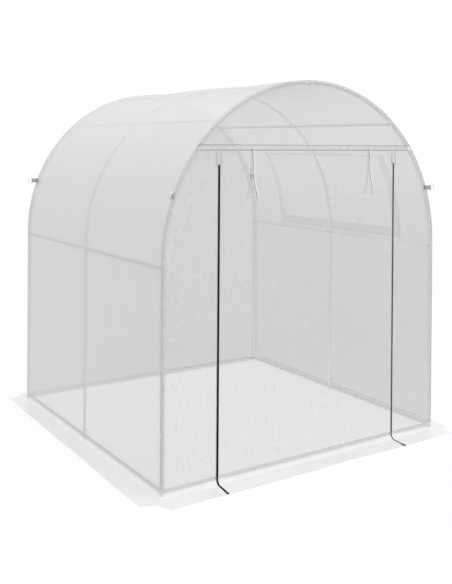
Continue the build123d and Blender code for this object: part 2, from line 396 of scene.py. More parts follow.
def film_material(name, sheer, creases, pale, clouded_and_top_lit, bump, glow, clouding=0.012, painted_top_light=0.0):
    """Milky film: its haze is lit from the seen side, some light comes through, and it shines at a slant."""
    sheen_roughness, sheen_power, sheen_most, sheen_least = 0.32, 4.0, 0.92, 0.03
    crease_rise = 0.004
    material, tree, shader = new_material(name, Roughness=0.38, IOR=1.5)
    through = add_node(tree, "BsdfTranslucent", Color=(*grey(glow), 1.0))
    both = add_node(tree, "AddShader", shader.outputs[0], through.outputs[0])
    sheen = add_node(tree, "BsdfGlossy", Roughness=sheen_roughness)
    slant = add_node(tree, "LayerWeight").outputs["Facing"]
    steep = times(tree, math_node(tree, "POWER", slant, sheen_power), sheen_most)
    share = plus(tree, steep, sheen_least)
    gloss = add_node(tree, "MixShader", share, both.outputs[0], sheen.outputs[0])
    feed(tree, tree.nodes["Material Output"], Surface=gloss.outputs[0])
    crinkled = place_group(tree, film_crinkle, Crease_Scale=creases[0], Crease_Depth=creases[1],
                           Sheer=sheer, Clouding=clouding, Top_Haze=painted_top_light)
    # The lighter grey marks random clouds and, where painted_top_light is set, painted light on the surfaces
    # facing up.
    tint = mix_colour(tree, crinkled["Haze"], grey(pale), grey(clouded_and_top_lit))
    feed(tree, shader, Base_Color=tint, Alpha=crinkled["Alpha"])
    add_bump(tree, shader, crinkled["Height"], bump, crease_rise)
    return material


def woven_material(name, dark, light, threads, roughness, bump=0.5):
    material, tree, shader = new_material(name, Roughness=roughness)
    weave = place_group(tree, woven_tape, Threads=threads)
    feed(tree, shader, Base_Color=mix_colour(tree, weave["Mask"], dark, light))
    add_bump(tree, shader, weave["Height"], bump, 0.4 * MM)
    return material


def zinc_material(name, dark, light, flake_scale):
    material, tree, shader = new_material(name, Metallic=1.0)
    spangle = place_group(tree, zinc_spangle, Flake_Scale=flake_scale)
    tone = mix_colour(tree, spangle["Tone"], dark, light)
    feed(tree, shader, Base_Color=tone, Roughness=spangle["Polish"])
    add_bump(tree, shader, spangle["Height"], 0.05, 0.1 * MM)
    return material


def moulded_material(name, dark, light, roughness, gloss):
    material, tree, shader = new_material(name, Roughness=roughness, Specular_IOR_Level=gloss)
    grain = place_group(tree, moulded_grain)
    feed(tree, shader, Base_Color=mix_colour(tree, grain["Mottle"], dark, light))
    add_bump(tree, shader, grain["Height"], 0.2, 0.3 * MM)
    return material


# Films: sheerness, scale and depth of creases, grey of clear places, grey of clouded places and of painted
# top light, bump, glow
# The wall film gets painted top light: where it faces up, as on the roof, it is drawn towards its lighter
# grey.
wall_film = film_material("wall film", 0.315, (5.0, 0.03), 0.10, 0.60, 0.10, 0.085, painted_top_light=0.9)
lap_film = film_material("clinging film", 0.10, (5.0, 0.03), 0.15, 0.30, 0.10, 0.02)
gable_film = film_material("gable film", 0.295, (42.0, 0.45), 0.175, 0.25, 0.6, 0.085)
# Painted light: the inner ties use a see-through film copy of the white tie tape, so that they read as pale
# as lit tape.
inner_tie_painted_light_film = film_material("inner tie tape", 0.24, (9.0, 0.1), 0.45, 0.60, 0.3, 0.10)
# Painted light: the skirts use a paler copy of the cover film, for the light they catch lying flat on the
# ground.
skirt_film_painted_lighter = film_material("skirt film", 0.30, (6.0, 0.20), 0.44, 0.60, 0.5, 0.08, clouding=0.03)
seam_film = film_material("seam film", 0.055, (7.0, 0.20), 0.34, 0.44, 0.4, 0.03)
sleeve_film = film_material("header sleeve film", 0.29, (9.0, 0.20), 0.50, 0.60, 0.3, 0.05)
guard_film = film_material("zip guard film", 0.13, (9.0, 0.20), 0.30, 0.40, 0.3, 0.03)
# Metals: dark and light tone, scale of the flakes
galvanised = zinc_material("galvanised tube", grey(0.92), grey(0.98), 260.0)
# A darker copy of the galvanised finish, given to the base rails.
darker_rail_zinc = zinc_material("weathered tube", grey(0.80), grey(0.89), 260.0)
zinc_bolt = zinc_material("zinc bolt", (0.80, 0.80, 0.79), (0.92, 0.92, 0.90), 520.0)
# Plastics: dark and light tone, roughness, gloss
dark_teeth = moulded_material("dark zip teeth", (0.006, 0.011, 0.009), (0.014, 0.022, 0.019), 0.6, 0.15)
grey_teeth = moulded_material("grey zip teeth", grey(0.07), grey(0.11), 0.55, 0.25)
white_ring = moulded_material("white ring", (0.72, 0.72, 0.71), (0.84, 0.84, 0.83), 0.35, 0.5)
# Weaves: dark and light tone, threads, roughness
zip_tape = woven_material("zip tape", grey(0.62), grey(0.78), 1100.0, 0.8)
tie_tape = woven_material("tie tape", (0.74, 0.74, 0.73), (0.90, 0.90, 0.89), 800.0, 0.75)
grey_webbing = woven_material("grey webbing", grey(0.40), grey(0.60), 520.0, 0.85, bump=0.9)
# Partly painted shade: this dark cord stands for the shadow lines along the header's seams and down each
# outer tie's left edge; it also edges the zip guards.
hem_and_shade_cord = woven_material("hem cord", grey(0.34), grey(0.48), 1300.0, 0.8)
white_thread = woven_material("white thread", (0.62, 0.62, 0.61), (0.82, 0.82, 0.81), 1600.0, 0.7)


# Carried-over tubes

def finish_solids():
    finishes = {"hoop": galvanised, "purlin": galvanised, "header_tube": galvanised, "rail": darker_rail_zinc}
    for name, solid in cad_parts.items():
        for word, finish in finishes.items():
            if word in name:
                for place in solid.material_slots:
                    place.material = finish


# Wall and roof sheet, one length of film from ground to ground

SHEET_STEP = 0.024
WALL_SAG = 6 * MM
HAUNCH_SAG = 5 * MM
CROWN_SAG = 7 * MM
WALL_FLUTTER = 0.7 * MM
ROOF_FLUTTER = 0.6 * MM
FLUTTERS_PER_M = 6.0
FLUTTERS_PER_RADIAN = 5.0


def bay_share(y):
    """How far y lies into its bay, 0 on a hoop and 1 half way to the next."""
    return math.sin(math.pi * (y - hoop_ys[0]) / hoop_spacing) ** 2


def wall_point(side, z, y):
    wall_seed = side * 3.7
    share = max(0.0, min(1.0, (z - base_rail_z) / (side_purlin_z - base_rail_z)))
    sag = WALL_SAG * math.sin(math.pi * share) * bay_share(y)
    flutter = ripple(WALL_FLUTTER, wall_seed, y * FLUTTERS_PER_M, z * FLUTTERS_PER_M) * bay_share(y)
    return Vector((side * (film_r - sag + flutter), y, z))


def arch_sag(angle, y):
    from_side = min(angle, math.pi - angle)
    if from_side < upper_purlin_angle:
        return HAUNCH_SAG * math.sin(math.pi * from_side / upper_purlin_angle) * bay_share(y)
    share = (angle - upper_purlin_angle) / (math.pi - 2 * upper_purlin_angle)
    return CROWN_SAG * math.sin(math.pi * share) * bay_share(y)


def arch_place(angle, y, lift=0.0):
    roof_seed = 2.0
    radius = film_r - arch_sag(angle, y) + lift
    radius += ripple(ROOF_FLUTTER, angle * FLUTTERS_PER_RADIAN, y * FLUTTERS_PER_M, roof_seed) * bay_share(y)
    return Vector((radius * math.cos(angle), y, springing + radius * math.sin(angle)))


def cover_route(levels, angles):
    """Stations up the right wall, over the arch and down the left wall."""
    route = [("right", z) for z in levels] + [("arch", a) for a in angles[1:]]
    return route + [("left", z) for z in reversed(levels[:-1])]


def make_tunnel_sheet():
    wall_zs = spread_through([bend_top, side_purlin_z, springing], SHEET_STEP)
    angle_stops = [0.0, *window_angles, flap_angles[1], math.pi / 2, math.pi]
    stations = cover_route(wall_zs, spread_through(angle_stops, SHEET_STEP / film_r))
    ys = spread_through([-gable_y, flap_low[Y], *window_ys, flap_high[Y], gable_y], SHEET_STEP)

    def point(row, y):
        kind, value = stations[row]
        if kind == "arch":
            return arch_place(value, y)
        return wall_point(1 if kind == "right" else -1, value, y)

    def outside_window(between, y):
        low, high = stations[int(between)], stations[int(between) + 1]
        if high[0] != "arch" or not window_ys[0] < y < window_ys[1]:
            return True
        start = low[1] if low[0] == "arch" else 0.0
        return not window_angles[0] < (start + high[1]) / 2 < window_angles[1]

    sheet = add_grid("tunnel_sheet", range(len(stations)), ys, point, wall_film, outside_window)
    sheet.data.materials.append(lap_film)
    for face in sheet.data.polygons:
        turn = math.atan2(face.center.z - springing, face.center.x)
        if flap_low[Y] < face.center.y < flap_high[Y] and flap_angles[0] < turn < flap_angles[1]:
            face.material_index = 1
    roof_nodes = [side + part for side in ("left_", "right_")
                  for part in ("haunch_film", "shoulder_film", "crown_film")]
    settle(sheet, "cover_film", "left_wall_film", "right_wall_film", *roof_nodes)


def make_window_flap():
    step = 0.02
    puff_high, puff_low, puff_fade, puff_seed = 2.0 * MM, -0.5 * MM, 0.1, 5.0
    puffs_per_radian, puffs_per_m = 9.0, 7.0

    def point(angle, y):
        edge = min(y - flap_low[Y], flap_high[Y] - y, puff_fade) / puff_fade
        puff = ripple(puff_high * smoothstep(edge), angle * puffs_per_radian, y * puffs_per_m, puff_seed)
        return arch_place(angle, y, flap_r - film_r + max(puff, puff_low))

    angles = spread_through([flap_angles[0], *window_angles, flap_angles[1]], step / flap_r)
    ys = spread_through([flap_low[Y], *window_ys, flap_high[Y]], step)
    flap = add_grid("window_flap_sheet", angles, ys, point, wall_film)
    settle(flap, "cover_film", "window_flap")


# Gables and door

def half_width(z):
    """Half the gable's width at a level."""
    if z <= springing:
        return film_r
    return math.sqrt(max(film_r ** 2 - (z - springing) ** 2, 0.0))


def sharp_fold(spot):
    """1 along a fold and falling off to both sides."""
    return 1.0 - 2.2 * abs(noise.noise(spot))


def crumple(x, z, seed):
    """Crumpled film: broad puckers with sharper folds across them, about -1 to 1."""
    across_scale, upright_scale, seed_step = 5.0, 4.2, 1.7
    warp_scale, warp_reach, fold_scale, fine_scale = 1.9, 0.6, 2.6, 6.5
    broad_share, crease_shading_share, fine_share = 0.45, 0.38, 0.17
    spot = Vector((x * across_scale + seed, z * upright_scale, seed * seed_step))
    drift = spot * warp_scale
    elsewhere = Vector((9, 3, 1))
    warp = Vector((noise.noise(drift), noise.noise(drift + elsewhere), 0.0)) * warp_reach
    folds = sharp_fold(spot * fold_scale + warp)
    fine = sharp_fold(spot * fine_scale + warp * 2)
    return broad_share * noise.noise(spot) + crease_shading_share * folds + fine_share * fine


def gable_point(side, seed, depth):
    """Places a gable's points, crumpled by up to the depth and held flat along its seams."""
    hoop_hold, ground_hold, header_hold, zip_hold = 0.09, 0.12, 0.05, 0.06
    loose_at_zip = 0.25

    def point(x, z):
        loose = smoothstep((half_width(z) - abs(x)) / hoop_hold) * smoothstep((z - bend_top) / ground_hold)
        if side < 0:
            loose *= smoothstep(min(abs(z - header_low), abs(z - header_high)) / header_hold)
            from_zip = smoothstep(abs(abs(x) - zip_x) / zip_hold)
            loose *= loose_at_zip + (1 - loose_at_zip) * from_zip
        return Vector((x, side * (gable_y - depth * loose * crumple(x, z, seed)), z))

    return point


def add_gable_panel(name, left, right, low, high, point):
    """A flat panel between two upright lines and two levels, trimmed to the hoop."""
    step = 0.013
    rows = spread(low, high, step)
    columns = spread(0.0, 1.0, step / (abs(left) + abs(right)))

    def place(z, share):
        reach = half_width(z)
        start, end = max(left, -reach), min(right, reach)
        return point(start + (end - start) * share, z)

    return merge_close(add_grid(name, rows, columns, place, gable_film))


def declare_panel(panel, flat, node):
    settle(panel, "cover_film", node)
    area = min(surface_area(panel), flat[0] * flat[1])


def make_gables():
    front = gable_point(side=-1, seed=3.0, depth=3.5 * MM)
    slack = gable_point(side=-1, seed=8.0, depth=4.5 * MM)
    back = gable_point(side=1, seed=21.0, depth=5 * MM)
    door_tall = header_low - bend_top
    for name, low, high in (("front_gable_left", -film_r, left_zip_x), ("front_gable_right", zip_x, film_r)):
        panel = add_gable_panel(name + "_sheet", low, high, bend_top, header_low, front)
        declare_panel(panel, (high - low, door_tall), name)
    top = add_gable_panel("front_gable_top_sheet", -film_r, film_r, header_high, crown_z, front)
    top_flat = (2 * half_width(header_high), crown_z - header_high)
    declare_panel(top, top_flat, "front_gable_top")
    door = add_gable_panel("roll_up_door_sheet", left_zip_x, zip_x, bend_top, header_low, slack)
    declare_panel(door, (zip_x - left_zip_x, door_tall), "roll_up_door")
    rear = add_gable_panel("rear_gable_sheet", -film_r, film_r, bend_top, crown_z, back)
    declare_panel(rear, (2 * film_r, crown_z - bend_top), "rear_gable")


# Header sleeve and its hems

def make_header_sleeve_sheet():
    """A pocket of film round the header tube, pinched to a seam along its top and its bottom."""
    step, round_step = 0.012, math.pi / 16
    rise, seam_height, ease, unevenness = 4 * MM, 1 * MM, 1.6 * MM, 0.6 * MM
    ripples_per_m, ripple_seed = 14.0, 4.0
    pinch_power, end_ease, end_share = 0.55, 0.03, 0.35
    half_tall = (header_high - header_low) / 2 + seam_height
    reach = half_width(header_z) - tube_r

    def point(x, turn):
        seam = math.sin(turn)
        pinch = math.copysign(abs(seam) ** pinch_power, seam)
        uneven = ripple(unevenness, x * ripples_per_m, turn, ripple_seed)
        end = smoothstep((half_width(header_z) - abs(x)) / end_ease)
        depth = (tube_r + ease) * math.cos(turn) + uneven
        y = -end_hoop_y - depth * (end_share + (1 - end_share) * end)
        return Vector((x, y, header_z + rise + half_tall * pinch + uneven))

    xs = spread(-reach, reach, step)
    turns = spread(0.0, 2 * math.pi, round_step)
    sleeve = merge_close(add_grid("header_sleeve_sheet", xs, turns, point, sleeve_film))
    settle(sleeve, "cover_film", "header_sleeve")


def make_header_cords():
    """The hem cords along the sleeve's two seams, dark as painted shade of the seams' shadow lines, and a
    dark cord of painted shade at the mouth at its left end.
    """
    low_hem, high_hem = header_low + 4 * MM, header_high + 6 * MM
    low_hem_r, high_hem_r, mouth_r = 1.4 * MM, 0.9 * MM, 1.7 * MM
    end_gap, cord_step, mouth_step = 6 * MM, 0.03, 0.004
    wander, wanders_per_m, wander_seed = 0.5 * MM, 9.0, 1.0
    hem_y, mouth_y = -gable_face - 1.2 * MM, -gable_face - 1.6 * MM
    verts, faces = [], []
    # Painted shade: these dark cords stand partly for the hems and partly for the shadow lines along the
    # seams.
    for z, radius in ((low_hem, low_hem_r), (high_hem, high_hem_r)):
        reach = half_width(z) - end_gap
        points = []
        for x in spread(-reach, reach, cord_step):
            points.append(Vector((x, hem_y, z + ripple(wander, x * wanders_per_m, z, wander_seed))))
        add_cord(verts, faces, points, radius)
    settle(add_mesh("header_hem_shade_cords", verts, faces, hem_and_shade_cord), "cover_film")
    # Painted shade: a dark cord at the sleeve's left end stands for the shade in its mouth.
    verts, faces = [], []
    mouth_zs = spread(low_hem + 2 * MM, high_hem + 4 * MM, mouth_step)
    add_cord(verts, faces, [Vector((-half_width(z) + end_gap, mouth_y, z)) for z in mouth_zs], mouth_r)
    settle(add_mesh("header_sleeve_mouth_shade", verts, faces, grey_teeth), "cover_film")


# Sewn bindings round the gables

def make_edge_binding(name, side, on_roof):
    """The sewn allowance that runs round a gable, on the gable and a little way on to the roof."""
    on_gable, lift, stand = 0.027, 0.9 * MM, 0.5 * MM
    upright_step, arch_step = 0.04, 0.04
    wander, wander_step, wander_seed = 0.8 * MM, 0.23, side * 5.0
    route = cover_route(spread(bend_top, springing, upright_step), spread(0.0, math.pi, arch_step))

    def place(row, radius, y):
        kind, value = route[row]
        if kind == "arch":
            return Vector((radius * math.cos(value), y, springing + radius * math.sin(value)))
        return Vector(((1 if kind == "right" else -1) * radius, y, value))

    def point(row, share):
        uneven = ripple(wander, row * wander_step, share, wander_seed)
        if share >= 0:
            return place(row, film_r + lift - (on_gable + uneven) * share, side * (gable_face + stand))
        return place(row, film_r + lift, side * (gable_face + stand + (on_roof + uneven) * share))

    shares = [-1.0, -0.5, 0.0, 0.5, 1.0]
    binding = add_grid(name + "_edge_binding", range(len(route)), shares, point, seam_film)
    settle(binding, "cover_film")


# Skirts

SKIRT_BEND = 0.013
ZIP_BEND = 0.033


def bend_profile(share, radius):
    """Distance out from the wall's face and height, from the bend's top to the skirt's outer edge."""
    straight = bend_r - radius
    arc = radius * math.pi / 2
    run = share * (straight + arc + skirt_out - radius)
    if run < straight:
        return 0.0, bend_top - run
    if run < straight + arc:
        turn = (run - straight) / radius
        return radius * (1 - math.cos(turn)), laid_z + radius * (1 - math.sin(turn))
    return radius + run - straight - arc, laid_z


def make_skirt(side, turn, seed, reaches, corners):
    """One skirt, made along X with the wall's face ahead, then turned to its side of the tunnel.

    The reaches are shares of the full width at its two ends, the corners how far its ends splay.
    """
    node = side + "_skirt"
    notch, least_z, loose_from = 0.052, 0.6 * MM, 0.4
    zip_calm, zip_fade = 0.015, 0.10
    swell_high, swell_low, edge_wander, pucker_high = 7 * MM, -0.05, 9 * MM, 0.4 * MM
    placed = Matrix.Rotation(turn, 4, "Z")

    def point(along, share):
        near_zip = 0.0
        if side == "front":
            from_zip = abs(abs(along * gable_face) - zip_x)
            near_zip = 1 - smoothstep((from_zip - zip_calm) / zip_fade)
        out, z = bend_profile(share, SKIRT_BEND + (ZIP_BEND - SKIRT_BEND) * near_zip)
        corner = corners[1] if along > 0 else corners[0]
        splay = min(out, notch) + (corner - notch) * max(out - notch, 0.0) / (skirt_out - notch)
        x = along * (gable_face + splay)
        loose = smoothstep((share - loose_from) / (1 - loose_from))
        swell = ripple(1.0, x * 3.1, seed, 0.0) + ripple(0.5, x * 8.3, seed, 3.0)
        rise = swell_high * loose * (1 - near_zip) * max(swell, swell_low)
        reach = reaches[0] + (reaches[1] - reaches[0]) * (along + 1) / 2
        edge = out * (1 + (reach - 1) * loose) + ripple(edge_wander * loose, x * 2.3, seed, 9.0)
        pucker = ripple(pucker_high * smoothstep(out / 0.02), x * 22.0, out * 15.0, seed)
        return placed @ Vector((x, -gable_face - edge, max(z + rise + pucker, least_z)))

    shares = spread_through([0.0, 0.45, 1.0], 0.03)
    skirt = add_grid(node + "_sheet", spread(-1.0, 1.0, 0.012), shares, point, skirt_film_painted_lighter)
    settle(skirt, "cover_film", node)


def make_skirts():
    quarter = math.pi / 2
    make_skirt("front", 0.0, seed=1.3, reaches=(1.0, 0.93), corners=(0.020, 0.035))
    make_skirt("right", quarter, seed=4.1, reaches=(0.80, 0.92), corners=(0.030, 0.020))
    make_skirt("rear", 2 * quarter, seed=7.7, reaches=(0.95, 0.85), corners=(0.010, -0.010))
    make_skirt("left", -quarter, seed=11.9, reaches=(0.72, 0.95), corners=(0.040, 0.030))


# Zips

TAIL_LEAN = 0.020
TEETH_LIFT = 1.1 * MM


def zip_route(run, top, lift):
    """Place, tangent and outward normal in Y and Z at a distance down the zip from its top."""
    radius = ZIP_BEND - lift
    straight = top - laid_z - ZIP_BEND
    arc = radius * math.pi / 2
    if run < straight:
        return Vector((0, -gable_face - lift, top - run)), -UP, AHEAD
    if run < straight + arc:
        turn = (run - straight) / radius
        out, down = math.cos(turn), math.sin(turn)
        place = Vector((0, -gable_face - ZIP_BEND + radius * out, laid_z + ZIP_BEND - radius * down))
        return place, Vector((0, -down, -out)), Vector((0, -out, down))
    y = -gable_face - ZIP_BEND - (run - straight - arc)
    return Vector((0, y, laid_z + lift)), AHEAD, UP


def zip_length(top, lift):
    return top - laid_z - ZIP_BEND + (ZIP_BEND - lift) * math.pi / 2 + zip_end - ZIP_BEND


def zip_drift(run):
    """How far the tail has leaned to the left at a distance down the zip."""
    straight = zip_top - laid_z - ZIP_BEND
    return -TAIL_LEAN * max(run - straight, 0.0) / (zip_length(zip_top, 0.0) - straight)


def make_zip(name, x, teeth_material, teeth_share):
    """Teeth from both sides that pass each other in the middle, two stops at the top, tape and guard."""
    pitch, tooth_long_share, tooth_tall, overlap = 1.7 * MM, 1.75, 2.0 * MM, 0.9 * MM
    stop_gap, stop_wide, stop_rise, stop_long, stop_tall = 0.3 * MM, 4 * MM, 5 * MM, 4.4 * MM, 2.4 * MM
    verts, faces = [], []
    for k in range(int(zip_length(zip_top, TEETH_LIFT) / pitch)):
        place, along, up = zip_route(k * pitch, zip_top, TEETH_LIFT)
        side = ACROSS if k % 2 else -ACROSS
        corner = place + ACROSS * (x + zip_drift(k * pitch)) - side * overlap
        across = side * (zip_teeth_half * teeth_share + overlap)
        box_part(verts, faces, corner, across, along * pitch * tooth_long_share, up * tooth_tall)
    place, along, up = zip_route(0.0, zip_top, TEETH_LIFT)
    for side in (-1, 1):
        corner = place + ACROSS * (x + side * stop_gap) - along * stop_rise
        box_part(verts, faces, corner, ACROSS * side * stop_wide, along * stop_long, up * stop_tall)
    teeth = add_mesh(name + "_teeth", verts, faces, teeth_material, smooth=False)
    settle(teeth, "zip", name)
    make_zip_tape(name + "_tape", x)
    make_zip_guard(name + "_guard", x)


def make_zip_tape(name, x):
    lift, above, half_wide, crown = 0.7 * MM, 0.012, zip_tape_half * 0.5, 0.25 * MM
    top = zip_top + above

    def point(run, share):
        place, _, up = zip_route(run, top, lift)
        sideways = ACROSS * (x + zip_drift(run - above) + share * half_wide)
        return sideways + place + up * crown * (1 - share * share)

    tape = add_grid(name, spread(0.0, zip_length(top, lift), 0.008), spread(-1.0, 1.0, 0.1), point, zip_tape)
    settle(tape, "zip")


def make_zip_guard(name, x):
    """The film strip that closes the slit between the zip's top and the header, with a hem on each side."""
    half_wide, end_lap, edge_cord_r, hem_sides = 0.016, 4 * MM, 0.8 * MM, 6
    edge_stand, middle_stand = 1.2, 0.5
    low, high = zip_top - end_lap, header_low + end_lap

    def point(z, share):
        stand = (edge_stand + middle_stand * math.cos(share * 1.5)) * MM
        return Vector((x + half_wide * share, -gable_face - stand, z))

    guard = add_grid(name, spread(low, high, 0.008), spread(-1.0, 1.0, 0.2), point, guard_film)
    settle(guard, "cover_film")
    verts, faces = [], []
    for share in (-1.0, 1.0):
        add_cord(verts, faces, [point(low, share), point(high, share)], edge_cord_r, hem_sides)
    settle(add_mesh(name + "_hems", verts, faces, hem_and_shade_cord), "cover_film")


def make_sliders():
    """A slider near the end of each zip, with its pull laid back along the tape.

    Each block is its start and its size along, across and up, in millimetres from the slider's middle.
    """
    body = [((-7, -5, 2.1), (14, 10, 1.1)), ((-4.5, -6.2, 2.1), (9, 12.4, 1.0))]
    bridge = [((start, -1.1, 3.2), (2, 2.2, 2.4)) for start in (-3.5, 1.5)]
    bridge += [((-3.5, -1.1, 5.0), (7, 2.2, 1.0))]
    pull = [((-24, start, 3.2), (24, 1.5, 1.3)) for start in (-3.6, 2.1)]
    pull += [((start, -3.6, 3.2), (long, 7.2, 1.3)) for start, long in ((-24, 2.4), (-12, 2.0), (-1.5, 1.5))]
    run = zip_length(zip_top, TEETH_LIFT) - 9 * MM
    place, along, up = zip_route(run, zip_top, TEETH_LIFT)
    edges = (along * MM, ACROSS * MM, up * MM)
    verts, faces = [], []
    for x in (left_zip_x, zip_x):
        spot = place + ACROSS * (x + zip_drift(run))
        for start, size in body + bridge + pull:
            corner = spot + sum((edge * far for edge, far in zip(edges, start)), Vector())
            long, wide, tall = (edge * far for edge, far in zip(edges, size))
            box_part(verts, faces, corner, wide, long, tall)
    settle(add_mesh("zip_slider_pulls", verts, faces, grey_teeth, smooth=False), "zip", "zip_sliders")


# Door ties

TIE_WIDE = 0.016
TIE_FOLD = 1.6 * MM
TIE_LIFT = 0.014


def add_ribbon(name, points, facing, material):
    """A tie through the points, each with its facing direction, folded a little along its middle."""
    shares = (-1.0, -0.5, 0.0, 0.5, 1.0)
    last = len(points) - 1
    verts = []
    for k, place in enumerate(points):
        along = (points[min(k + 1, last)] - points[max(k - 1, 0)]).normalized()
        across = along.cross(facing(k / last)).normalized()
        front = across.cross(along)
        for share in shares:
            verts.append(place + across * share * TIE_WIDE / 2 - front * TIE_FOLD * abs(share))
    faces = [quad for _, _, quad in quads(len(points), len(shares))]
    return add_mesh(name, verts, faces, material)


def make_tie(name, outer):
    """One tie of a pair, hung from the header on the outer or the inner face of the door."""
    low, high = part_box(name)
    side = 1 if outer else -1
    seed = 1.0 if outer else 6.0
    spans, swing_from, swing_over, swing_power = 40, 0.42, 0.75, 1.4
    belly, sway, sways_per_tie = 9 * MM, 1.5 * MM, 3
    turn_most, turn_ease, tilt = 0.35, 0.4, 0.25
    hang_x = (low[X] + high[X]) / 2 - 8 * MM
    hang_y = -gable_face - 4 * MM if outer else -gable_y + 9 * MM
    swing = (high[X] - low[X]) / 2 - TIE_WIDE / 2
    top = header_z - 4 * MM if outer else header_low + 2 * MM
    drop = low[Z] + TIE_LIFT - top
    points = []
    for k in range(spans + 1):
        share = k / spans
        bow = smoothstep((share - swing_from) / swing_over) ** swing_power
        x = hang_x + side * swing * bow + ripple(sway, share * sways_per_tie, seed, hang_x)
        y = hang_y - side * belly * math.sin(share * math.pi * 0.9) * (0.4 + 0.6 * share)
        points.append(Vector((x, y, top + drop * share)))

    def facing(share):
        turn = turn_most * side * (1 - turn_ease * smoothstep(share / 0.6))
        return Vector((math.sin(turn), -math.cos(turn), tilt))

    place, material = ("_outer", tie_tape) if outer else ("_inner", inner_tie_painted_light_film)
    tie = add_ribbon(name + place, points, facing, material)
    if outer:
        settle(tie, "tie_tape", name)
        # Painted shade: a dark cord down the outer tie's left edge stands for the shadow line along that
        # edge.
        verts, faces = [], []
        edge_cord_r, shade_line_place = 1.3 * MM, Vector((-TIE_WIDE * 0.46, -0.4 * MM, 0))
        add_cord(verts, faces, [spot + shade_line_place for spot in points], edge_cord_r)
        settle(add_mesh(name + "_hem", verts, faces, hem_and_shade_cord), "tie_tape")
    else:
        settle(tie, "tie_tape")


# Stitching

def add_stitches(verts, faces, start, end, normal, long=3.4 * MM, gap=1.8 * MM, thick=0.55 * MM):
    run = end - start
    along = run.normalized()
    across = along.cross(normal).normalized()
    for k in range(int(run.length / (long + gap))):
        corner = start + along * k * (long + gap) - across * thick / 2
        box_part(verts, faces, corner, across * thick, along * long, normal * thick)


def make_stitching():
    """Runs of stitches along the header's seams, beside the zips and along the window flap."""
    y = -gable_face - 1.5 * MM
    seam_in, seam_end, zip_seam_share, flap_seam = 2.0 * MM, 0.012, 0.43, 0.012
    verts, faces = [], []
    for z in (header_low + seam_in, header_high - seam_in):
        reach = half_width(z) - seam_end
        add_stitches(verts, faces, Vector((-reach, y, z)), Vector((reach, y, z)), AHEAD)
    for x in (left_zip_x, zip_x):
        for side in (-1, 1):
            seam_x = x + side * zip_tape_half * zip_seam_share
            top = Vector((seam_x, y, header_low - 4 * MM))
            add_stitches(verts, faces, top, Vector((seam_x, y, bend_top)), AHEAD)
    for angle in (flap_angles[1] - flap_seam, flap_angles[0] + flap_seam):
        out = Vector((math.cos(angle), 0, math.sin(angle)))
        lift = flap_r - film_r + 1.2 * MM
        ends = [arch_place(angle, seam_y, lift) for seam_y in (flap_low[Y], 0.0, flap_high[Y])]
        add_stitches(verts, faces, ends[0], ends[1], out)
        add_stitches(verts, faces, ends[1], ends[2], out)
    settle(add_mesh("stitching", verts, faces, white_thread, smooth=False), "tie_tape")


# Guy tabs with their rings, each made pointing along X from its root on the hoop

GUY_BAR = 0.036
RING_LEG = 0.014
RING_R = 0.0175
RING_WIRE = 2.25 * MM
WEBBING_THICK = 1.5 * MM
WEBBING_PLY = 0.9 * MM
TAB_LIFT = 9 * MM
TAB_STAND = 1.9 * MM


def webbing_path():
    """One length of webbing out to the ring's bar, round it and back, seen from above."""
    wrap = RING_WIRE + WEBBING_PLY
    going = [Vector((x, -WEBBING_PLY, 0)) for x in (-0.014, 0.010, 0.026)]
    going.append(Vector((0.032, -2 * WEBBING_PLY, 0)))
    round_bar = []
    for k in range(11):
        turn = math.radians(-115 + 23 * k)
        round_bar.append(Vector((GUY_BAR + wrap * math.cos(turn), wrap * math.sin(turn), 0)))
    back = [Vector((v.x, -v.y, 0)) for v in reversed(going)]
    return going + round_bar + back


def ring_path():
    """The D of the ring, from its bar round the bow."""
    bar_end, corner_out, corner_in, leg_start = RING_R - 4 * MM, 1.5 * MM, 1 * MM, 5 * MM
    points = [Vector((GUY_BAR, 0, z)) for z in spread(-bar_end, bar_end, 0.006)]
    corner = [Vector((GUY_BAR + corner_out, 0, RING_R - corner_in)),
              Vector((GUY_BAR + leg_start, 0, RING_R))]
    points += corner
    for k in range(13):
        turn = math.radians(90 - 15 * k)
        points.append(Vector((GUY_BAR + RING_LEG + RING_R * math.cos(turn), 0, RING_R * math.sin(turn))))
    return points + [Vector((v.x, 0, -v.z)) for v in reversed(corner)]


def tab_stitches(half_tall):
    """A box with a cross in it, sewn on both faces of a tab."""
    start, end, edge, stand = 0.002, 0.024, half_tall - 3 * MM, 1.8 * MM
    verts, faces = [], []
    for out in (-1, 1):
        corners = ((start, -edge), (end, -edge), (end, edge), (start, edge))
        spots = [Vector((x, out * stand, z)) for x, z in corners]
        for first, second in ((0, 1), (1, 2), (2, 3), (3, 0), (0, 2), (1, 3)):
            add_stitches(verts, faces, spots[first], spots[second], Vector((0, out, 0)),
                         long=2.2 * MM, gap=1.2 * MM, thick=0.6 * MM)
    return verts, faces


def add_placed(target, placed, verts, faces):
    """Adds a copy of a shape, moved to its place, to a pair of lists."""
    base = len(target[0])
    target[0].extend(placed @ v for v in verts)
    target[1].extend(tuple(base + k for k in face) for face in faces)


